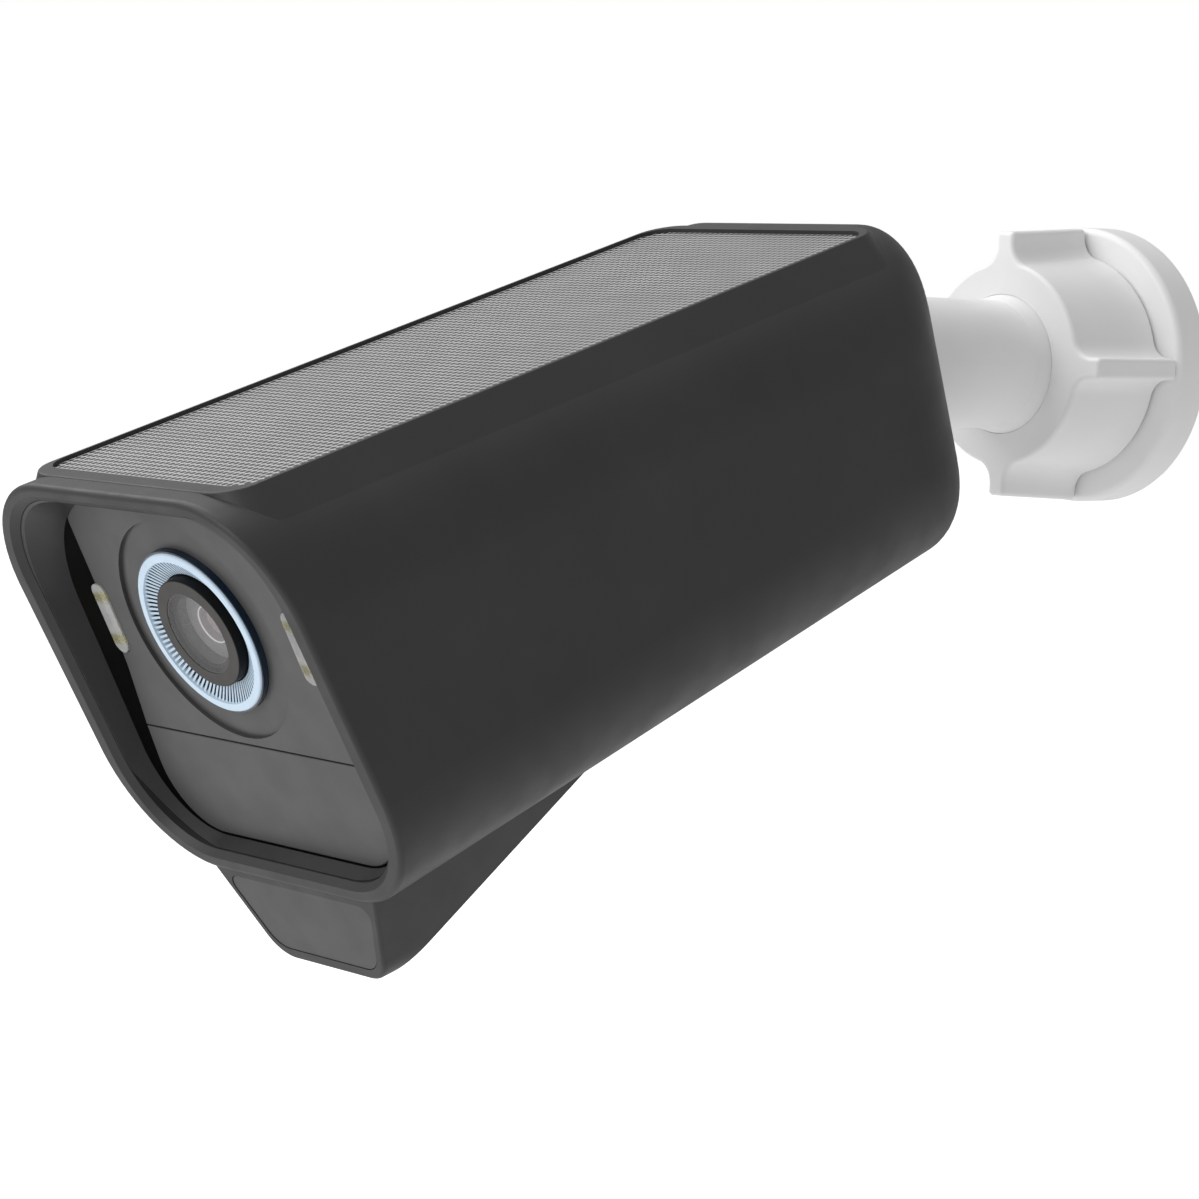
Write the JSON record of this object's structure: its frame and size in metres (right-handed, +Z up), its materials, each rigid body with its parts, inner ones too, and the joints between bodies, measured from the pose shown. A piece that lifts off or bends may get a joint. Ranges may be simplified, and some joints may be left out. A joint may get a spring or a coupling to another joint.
{
  "type": "solar security camera",
  "caption": "Solar-powered security camera: a deep hooded housing with a ring lens, side lamps and a chin sensor, on a ball-jointed wall bracket.",
  "frame": {"origin": "centre of the wall plate's back face", "axes": "+Y into the wall, out of the plate's back; +Z up; +X to the camera's right as it looks out along -Y"},
  "size_m": [0.0832, 0.2381, 0.1321],
  "materials": {
    "white_shell": "fine satin, white",
    "cup_liner": "dull",
    "stud_steel": "turned",
    "screw_steel": "plain",
    "insert_brass": "turned",
    "hood_shell": "fine matt grain, near black",
    "liner_shell": "satin, near black",
    "face_shell": "fine satin, dark grey",
    "inner_plastic": "plain black",
    "solar_cells": "dark cells with fine bright dashes under glass",
    "foam_tape": "foam",
    "ring_light": "frosted, pale blue",
    "ring_tube": "dark blue",
    "bezel_shell": "satin black",
    "clear_glass": "polished",
    "window_plastic": "clear, polished",
    "sensor_window": "milky grey",
    "led_body": "yellow phosphor",
    "infrared_body": "dark tinted",
    "circuit_board": "green solder mask",
    "part_metal": "plain"
  },
  "bodies": {
    "wall": {"wall_base": "white_shell", "wall_cover": "white_shell"},
    "nut": {"clamp_nut": "white_shell"},
    "cup": {"friction_cup": "cup_liner"},
    "arm": {"ball_arm": "white_shell", "mount_stud": "stud_steel", "lock_ring": "white_shell"},
    "camera": {"battery_cells": "part_metal", "battery_holder": "inner_plastic", "board_screws": "screw_steel", "button_switch": "inner_plastic", "card_socket": "inner_plastic", "chin_housing": "hood_shell", "flap_pin": "screw_steel", "front_bulkhead": "inner_plastic", "front_lens": "clear_glass", "hood_liner": "liner_shell", "image_sensor": "part_metal", "infrared_leds": "infrared_body", "inner_tray": "inner_plastic", "led_board_left": "circuit_board", "led_board_right": "circuit_board", "led_window_left": "window_plastic", "led_window_right": "window_plastic", "lens_barrel": "inner_plastic", "lens_bezel": "bezel_shell", "lens_glass": "clear_glass", "lens_holder": "inner_plastic", "light_ring": "ring_light", "lower_face_plate": "face_shell", "main_board": "circuit_board", "memory_card": "inner_plastic", "microphone": "part_metal", "outer_hood": "hood_shell", "panel_adhesive": "foam_tape", "pir_board": "circuit_board", "pir_sensor": "part_metal", "pir_window": "sensor_window", "port_board": "circuit_board", "rear_cover": "hood_shell", "rear_gasket": "foam_tape", "rear_lens": "clear_glass", "rear_screws": "screw_steel", "ring_light_board": "circuit_board", "ring_sleeve": "ring_tube", "sensor_board": "circuit_board", "shield_can": "part_metal", "solar_panel": "solar_cells", "speaker": "inner_plastic", "spot_leds": "led_body", "threaded_insert": "insert_brass", "upper_face_plate": "face_shell", "usb_port": "part_metal", "wifi_antenna": "part_metal"},
    "filter_shuttle": {"filter_frame": "inner_plastic", "ir_cut_filter": "clear_glass", "clear_filter": "clear_glass"},
    "flap": {"port_flap": "hood_shell"},
    "button": {"power_button": "hood_shell"}
  },
  "joints": [
    {"name": "nut_turn", "type": "hinge", "parent": "wall", "child": "nut", "pos_m": [0, 0, 0], "axis": [0, -1, 0], "range_deg": [0, 180]},
    {"name": "camera_pan", "type": "hinge", "parent": "wall", "child": "cup", "pos_m": [0, -0.0265, 0], "axis": [0, 0, 1], "range_deg": [-9, 9]},
    {"name": "camera_tilt", "type": "hinge", "parent": "cup", "child": "arm", "pos_m": [0, -0.0265, 0], "axis": [1, 0, 0], "range_deg": [-9, 9]},
    {"name": "camera_roll", "type": "hinge", "parent": "arm", "child": "camera", "pos_m": [0, -0.075, 0], "axis": [0, 1, 0], "continuous": true},
    {"name": "filter_slide", "type": "slide", "parent": "camera", "child": "filter_shuttle", "axis": [1, 0, 0], "range_m": [0, 0.0054]},
    {"name": "flap_swing", "type": "hinge", "parent": "camera", "child": "flap", "pos_m": [-0.0045, -0.0695, -0.02091], "axis": [-1, 0, 0], "range_deg": [0, 100]},
    {"name": "button_press", "type": "slide", "parent": "camera", "child": "button", "axis": [0, -0.9511, -0.309], "range_m": [0, 0.0008], "stiffness_N_per_m": 600}
  ]
}
